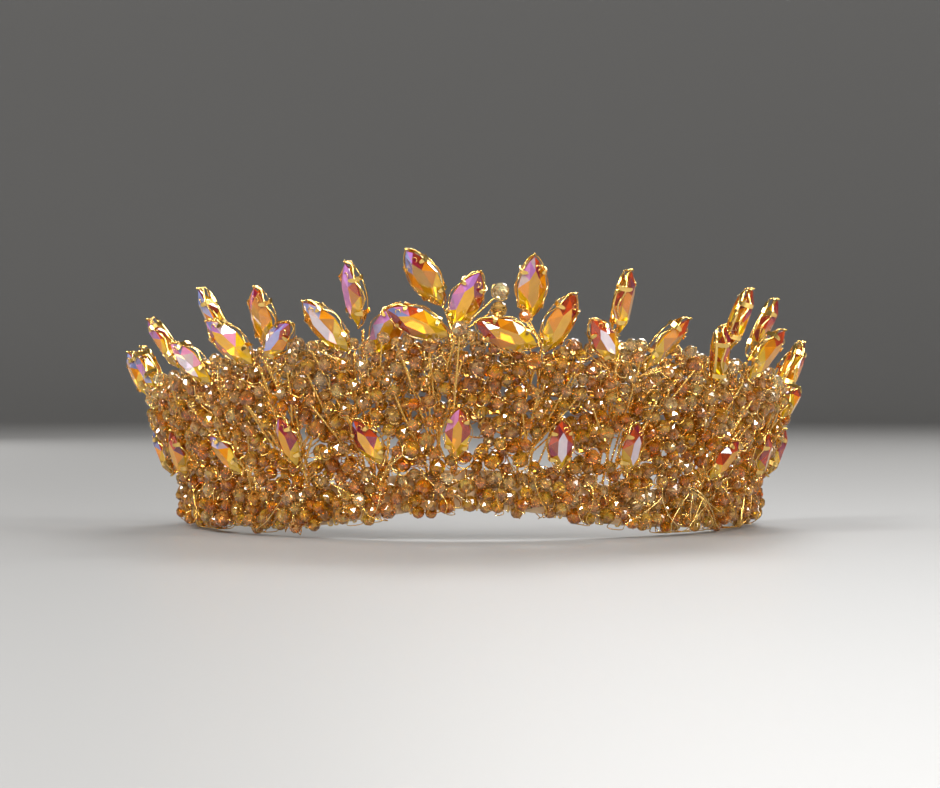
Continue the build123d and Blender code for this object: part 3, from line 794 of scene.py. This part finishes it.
def ribbon_sleeve(heap):
    """The satin ribbon wound round the band, each wrap lying a little over the last, painted darker where a
    wrap comes out from under the last one's raised edge and lighter towards its own: painted shade and
    light.
    """
    section = ribbon_section(RIBBON_SIDES)
    rows = int(2 * ribbon_end * band_radius / RIBBON_STEP)
    points, overlap_shades = [], []
    for azimuth in np.linspace(-ribbon_end, ribbon_end, rows):
        middle = band_middle(azimuth)
        outward = outward_at(middle)
        travel = azimuth * band_radius / RIBBON_WRAP
        for out, up, share in section:
            wrap = (travel + share) % 1
            lift = RIBBON_LIFT * wrap**0.6 + RIBBON_RIPPLE * math.sin(40 * wrap + 9 * share)
            away = unit(outward * out / ribbon_thick + UP * up / ribbon_half)
            points.append(middle + outward * out + UP * up + away * lift)
            # painted shade under the last wrap's edge, rising to painted light at this wrap's raised edge
            overlap_shades.append(SATIN_PAINTED_OVERLAP_SHADE[0] + (SATIN_PAINTED_OVERLAP_SHADE[1] - SATIN_PAINTED_OVERLAP_SHADE[0]) * wrap)
    faces, colours = [], []
    for k in range(rows - 1):
        for face in band_faces(k * RIBBON_SIDES, (k + 1) * RIBBON_SIDES, RIBBON_SIDES):
            faces.append(face)
            colours.append(SATIN * overlap_shades[face[0]])
    heap.take(points, faces, np.array(colours), smooth=True)


TURN_GAP = math.radians(2.6)
TURN_POINTS = 28
TURN_LEAN = 0.35 * TURN_GAP
TURN_GAPS = (0.7 * TURN_GAP, 1.3 * TURN_GAP)
BINDING_RADIUS = 0.2 * MM
BINDING_STAND = 0.42 * MM  # from the ribbon to the middle of the wire


def binding_turns(heap):
    """Thin wire wound round the ribbon, not quite evenly, under the beads."""
    azimuth = -ribbon_end + TURN_GAP
    while azimuth < ribbon_end - TURN_GAP:
        lean = chance.normal(0, TURN_LEAN)
        path = []
        for out, up, _ in ribbon_section(TURN_POINTS):
            middle = band_middle(azimuth + lean * up / ribbon_half)
            grow = 1 + BINDING_STAND / max(math.hypot(out, up), 1 * MM)
            path.append(middle + outward_at(middle) * out * grow + UP * up * grow)
        points, faces = tube(path, BINDING_RADIUS, closed=True)
        heap.take(points, faces, GOLD_TINTS[0], smooth=True)
        azimuth += chance.uniform(*TURN_GAPS)


LOOSE_TURNS = 30
LOOSE_WIRE = 0.12 * MM
ROPE_OUT = 7.6 * MM  # how far the rope's beads stand out from the middle of the band
ROPE_HALF = 5.8 * MM
ROPE_POWER = 0.6
LOOSE_POINTS = 44
LOOSE_LEAN = 1.8 * TURN_GAP
LOOSE_WAVE = 0.4 * MM
LOOSE_SWAY = 0.25 * TURN_GAP


def loose_turns(heap):
    """Thinner wire that goes round the rope over its beads, here and there, at a slant."""
    inner, outer = -ribbon_thick - 2 * LOOSE_WIRE, ROPE_OUT
    for _ in range(LOOSE_TURNS):
        azimuth = chance.uniform(-1, 1) * (ribbon_end - 4 * TURN_GAP)
        lean = chance.normal(0, LOOSE_LEAN)
        wander = chance.uniform(0, 2 * math.pi, 2)
        path = []
        for angle in np.arange(LOOSE_POINTS) * 2 * math.pi / LOOSE_POINTS:
            out, up = rounded(math.cos(angle), ROPE_POWER), rounded(math.sin(angle), ROPE_POWER)
            wave = LOOSE_WAVE * math.sin(3 * angle + wander[0])
            sway = LOOSE_SWAY * math.sin(4 * angle + wander[1])
            middle = band_middle(azimuth + lean * up + sway)
            depth = (inner + outer) / 2 + out * (outer - inner) / 2
            path.append(middle + outward_at(middle) * (depth + max(out, 0) * wave) + UP * up * ROPE_HALF)
        points, faces = tube(path, LOOSE_WIRE, sides=5, closed=True)
        heap.take(points, faces, GOLD_TINTS[chance.integers(len(GOLD_TINTS))], smooth=True)


# ---- the pieces
SHORTEST_STEM = 6 * MM
BAND_ANCHORS = 400


def stem_lines(node):
    """The middle lines of a wires node's stems. Solids shorter than SHORTEST_STEM get none: they are
    the pins inside beads and, in the row of small stones, the shortest stems."""
    solids = solids_in(node)
    return [stem_line(corners) for corners in solids if np.ptp(corners, axis=0).max() > SHORTEST_STEM]


band_anchors = np.array([band_middle(a) for a in np.linspace(-ribbon_end, ribbon_end, BAND_ANCHORS)])
stem_anchors = [line[::3] for node in nodes if node.endswith("_wires") for line in stem_lines(node)]
stem_anchors = np.concatenate(stem_anchors)
for node in nodes:
    if node.endswith("_beads") or node.startswith("rope_beads"):
        places = bead_places(node)
        low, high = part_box(node)
        heap = Heap()
        glass_beads(heap, places, low[2], high[2])
        make_piece(node + "_glass", heap, bead_glass, [node])
        heap = Heap()
        if node.startswith("rope"):
            bead_wires(heap, places, band_anchors, ROPE_LOOSENESS)
        else:
            bead_wires(heap, places, stem_anchors, WALL_LOOSENESS)
        make_piece(node + "_twists", heap, wire_gold, [])
    elif node.endswith("_wires"):
        heap = Heap()
        lines = stem_lines(node)
        for line in lines:
            twisted_stem(heap, line)
        if node.startswith("spray"):
            feet = np.mean([line[0] for line in lines], axis=0)
            places = bead_places(node.replace("wires", "beads"))
            fan_wires(heap, places, math.atan2(feet[0], -feet[1]))
        make_piece(node + "_twisted", heap, wire_gold, [node])
    elif node.endswith("_stones"):
        heap = Heap()
        cut_stones(heap, node)
        make_piece(node + "_cut", heap, stone_glass, [node])
        heap = Heap()
        claw_settings(heap, node)
        settings = node.replace("stones", "settings")
        make_piece(settings + "_clawed", heap, setting_gold, [settings])
    elif node in ("base_band", "end_loop_left", "end_loop_right"):
        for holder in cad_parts[node].material_slots:
            holder.material = band_gold

heap = Heap()
ribbon_sleeve(heap)
make_piece("satin_ribbon_wrap", heap, satin_material(), ["ribbon_cover"])
heap = Heap()
binding_turns(heap)
loose_turns(heap)
make_piece("binding_wire", heap, wire_gold, ["rope_wire"])


# ---- the stage
def area_light(name, place, size, power):
    """A lamp of this width and height in metres and power in watts, turned to the crown."""
    data = bpy.data.lights.new(name, "AREA")
    data.shape = "RECTANGLE"
    data.size, data.size_y = size
    data.energy = power
    light = bpy.data.objects.new(name, data)
    light.location = place
    light.rotation_euler = (LIT_POINT - Vector(place)).to_track_quat("-Z", "Y").to_euler()
    bpy.context.scene.collection.objects.link(light)


LIT_POINT = Vector((0, -0.03, 0.03))
FLOOR_RADIUS = 1.3
SWEEP_RADIUS = 0.5
STAGE_HEIGHT = 1.5
STAGE_SIDES = 96


def stage_profile():
    """Radius and height of the stage: a flat floor that curves up into a round wall."""
    profile = [(0.3, 0), (0.7, 0), (FLOOR_RADIUS, 0)]  # rings of the flat part
    for angle in np.linspace(0, math.pi / 2, 14)[1:]:
        out = FLOOR_RADIUS + SWEEP_RADIUS * math.sin(angle)
        profile.append((out, SWEEP_RADIUS * (1 - math.cos(angle))))
    return profile + [(FLOOR_RADIUS + SWEEP_RADIUS, STAGE_HEIGHT)]


profile = stage_profile()
stage_points = [(0, 0, 0)]
for out, height in profile:
    for k in range(STAGE_SIDES):
        angle = 2 * math.pi * k / STAGE_SIDES
        stage_points.append((out * math.cos(angle), out * math.sin(angle), height))
stage_faces = [(0, 1 + k, 1 + (k + 1) % STAGE_SIDES) for k in range(STAGE_SIDES)]
for row in range(len(profile) - 1):
    stage_faces += flipped(band_faces(1 + row * STAGE_SIDES, 1 + (row + 1) * STAGE_SIDES, STAGE_SIDES))
floor_mesh = bpy.data.meshes.new("floor")
floor_mesh.from_pydata(stage_points, [], stage_faces)
floor_mesh.polygons.foreach_set("use_smooth", [True] * len(stage_faces))
floor = bpy.data.objects.new("floor", floor_mesh)
bpy.context.scene.collection.objects.link(floor)
floor_material, _, floor_shader = new_material("pale_floor")
floor_shader.inputs["Base Color"].default_value = (0.25, 0.246, 0.24, 1)
floor_shader.inputs["Roughness"].default_value = 0.45
floor_mesh.materials.append(floor_material)

world = bpy.data.worlds.new("studio")
world.use_nodes = True
background = world.node_tree.nodes["Background"]
background.inputs["Color"].default_value = (0.92, 0.89, 0.84, 1)
background.inputs["Strength"].default_value = 0.14
bpy.context.scene.world = world
bpy.context.scene.view_settings.view_transform = "Standard"

LAMPS = [
    ("key", (-0.5, -0.6, 0.75), (0.3, 0.3), 8.6),
    ("fill", (0.75, -0.5, 0.55), (0.3, 0.4), 4.6),
    ("front", (0.12, -0.85, 0.6), (0.2, 0.14), 3),
    ("back", (0.2, 0.7, 0.65), (0.5, 0.3), 5),
]
SPARKLES = 16
SPARKLE_DISTANCE = 0.85
SPARKLE_FIRST, SPARKLE_STEP = -150, 20  # azimuths in degrees
SPARKLE_HEIGHTS = (0.15, 0.37, 0.59, 0.81)
SPARKLE_SIZE = (0.05, 0.05)
SPARKLE_POWER = 1.1
for lamp in LAMPS:
    area_light(*lamp)
for k in range(SPARKLES):
    azimuth = math.radians(SPARKLE_FIRST + SPARKLE_STEP * k)
    height = SPARKLE_HEIGHTS[k % 4]
    place = (SPARKLE_DISTANCE * math.sin(azimuth), -SPARKLE_DISTANCE * math.cos(azimuth), height)
    area_light(f"sparkle_{k}", place, SPARKLE_SIZE, SPARKLE_POWER)
